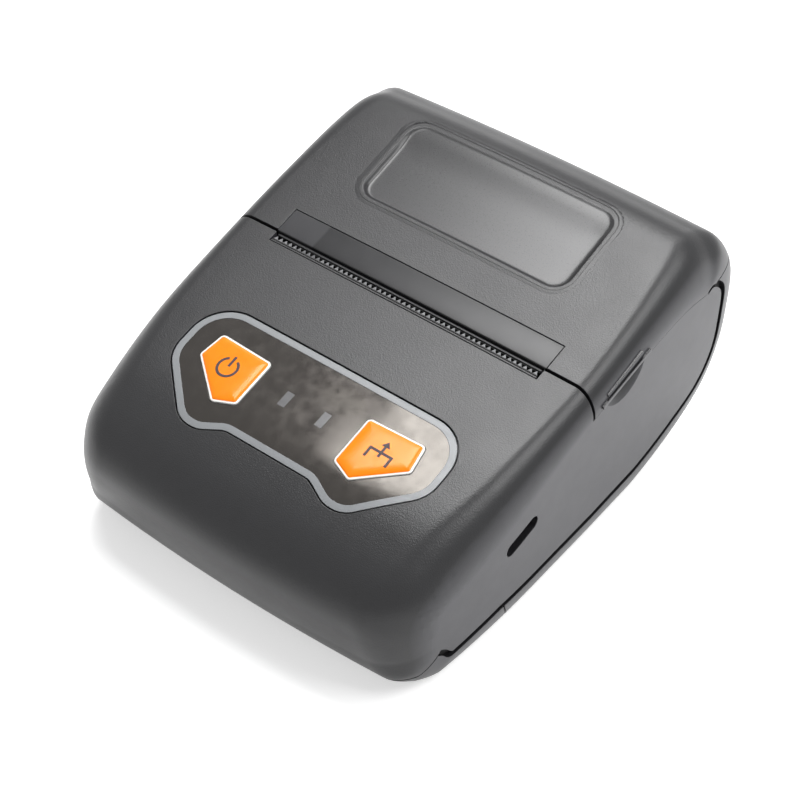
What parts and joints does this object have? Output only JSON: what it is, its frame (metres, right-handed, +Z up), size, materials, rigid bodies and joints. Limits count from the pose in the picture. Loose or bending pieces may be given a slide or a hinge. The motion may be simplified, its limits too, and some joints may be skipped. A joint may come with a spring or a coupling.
{
  "type": "receipt printer",
  "caption": "Pocket thermal receipt printer with a hinged paper cover, a toothed paper exit, orange keys on a gloss panel, a side socket and a battery door underneath.",
  "frame": {"origin": "on the table, under the middle of the case", "axes": "+X to the printer's right, +Y to its back, +Z up; the nose with the keys faces -Y"},
  "size_m": [0.0802, 0.0997, 0.0466],
  "materials": {
    "case_plastic": "fine pebbled black",
    "window_plastic": "smoked, smooth",
    "panel_gloss": "polished black with a grey brushed rim",
    "key_orange": "glossy orange",
    "lamp_lens": "grey, clear",
    "steel": "plain",
    "heat_sink_metal": "plain",
    "rubber": "matte",
    "head_ceramic": "glazed",
    "gear_plastic": "natural white",
    "board": "green solder mask",
    "chip": "black",
    "battery_wrap": "blue shrink wrap",
    "brass": "plain"
  },
  "bodies": {
    "case": {"upper_housing": "case_plastic", "bottom_tray": "case_plastic", "battery_bay": "case_plastic", "mechanism_frame": "case_plastic", "paper_bin": "case_plastic", "key_panel": "panel_gloss", "lamp_window_1": "lamp_lens", "lamp_window_2": "lamp_lens", "tear_bar": "steel", "usb_socket": "steel", "head_rod": "steel", "head_spring_1": "steel", "head_spring_2": "steel", "idler_stud": "steel", "stepper_motor": "steel", "hinge_pin_1": "steel", "hinge_pin_2": "steel", "case_screw_1": "steel", "case_screw_2": "steel", "case_screw_3": "steel", "case_screw_4": "steel", "board_screw_1": "steel", "board_screw_2": "steel", "board_screw_3": "steel", "board_screw_4": "steel", "rear_foot_1": "rubber", "rear_foot_2": "rubber", "board_lamp_1": "gear_plastic", "board_lamp_2": "gear_plastic", "main_board": "board", "board_chip_1": "chip", "board_chip_2": "chip", "board_chip_3": "chip", "key_switch_1": "chip", "key_switch_2": "chip", "battery_pack": "battery_wrap", "battery_connector": "brass"},
    "cover": {"paper_cover": "case_plastic", "exit_window": "window_plastic", "platen_bush_1": "gear_plastic", "platen_bush_2": "gear_plastic"},
    "platen": {"platen_roller": "rubber", "platen_shaft": "steel", "platen_gear": "gear_plastic"},
    "door": {"battery_door": "case_plastic", "front_foot_1": "rubber", "front_foot_2": "rubber"},
    "power_button": {"power_key": "key_orange"},
    "feed_button": {"feed_key": "key_orange"},
    "head": {"heater_strip": "head_ceramic", "heat_sink": "heat_sink_metal"},
    "idler": {"idler_gear": "gear_plastic"},
    "pinion": {"motor_pinion": "brass"}
  },
  "joints": [
    {"name": "cover_hinge", "type": "hinge", "parent": "case", "child": "cover", "pos_m": [0, 0.04516, 0.0175], "axis": [-1, 0, 0], "range_deg": [0, 78]},
    {"name": "platen_spin", "type": "hinge", "parent": "cover", "child": "platen", "pos_m": [0, 0.00673, 0.03055], "axis": [1, 0, 0], "continuous": true},
    {"name": "idler_spin", "type": "hinge", "parent": "case", "child": "idler", "pos_m": [-0.0328, -0.00196, 0.02186], "axis": [1, 0, 0], "continuous": true},
    {"name": "pinion_spin", "type": "hinge", "parent": "case", "child": "pinion", "pos_m": [-0.0328, -0.00378, 0.01153], "axis": [1, 0, 0], "continuous": true},
    {"name": "door_hinge", "type": "hinge", "parent": "case", "child": "door", "pos_m": [0, -0.01975, 0.0006], "axis": [1, 0, 0], "range_deg": [0, 75]},
    {"name": "power_press", "type": "slide", "parent": "case", "child": "power_button", "axis": [0, 0.26, -0.9656], "range_m": [0, 0.0004], "stiffness_N_per_m": 200},
    {"name": "feed_press", "type": "slide", "parent": "case", "child": "feed_button", "axis": [0, 0.26, -0.9656], "range_m": [0, 0.0004], "stiffness_N_per_m": 200},
    {"name": "head_rock", "type": "hinge", "parent": "case", "child": "head", "pos_m": [0, 0.00043, 0.02095], "axis": [1, 0, 0], "range_deg": [0, 1.5], "stiffness_Nm_per_rad": 0.5}
  ],
  "couplings": [
    {"joint": "idler_spin", "follows": "platen_spin", "ratio": -0.64},
    {"joint": "pinion_spin", "follows": "platen_spin", "ratio": 1.6}
  ]
}
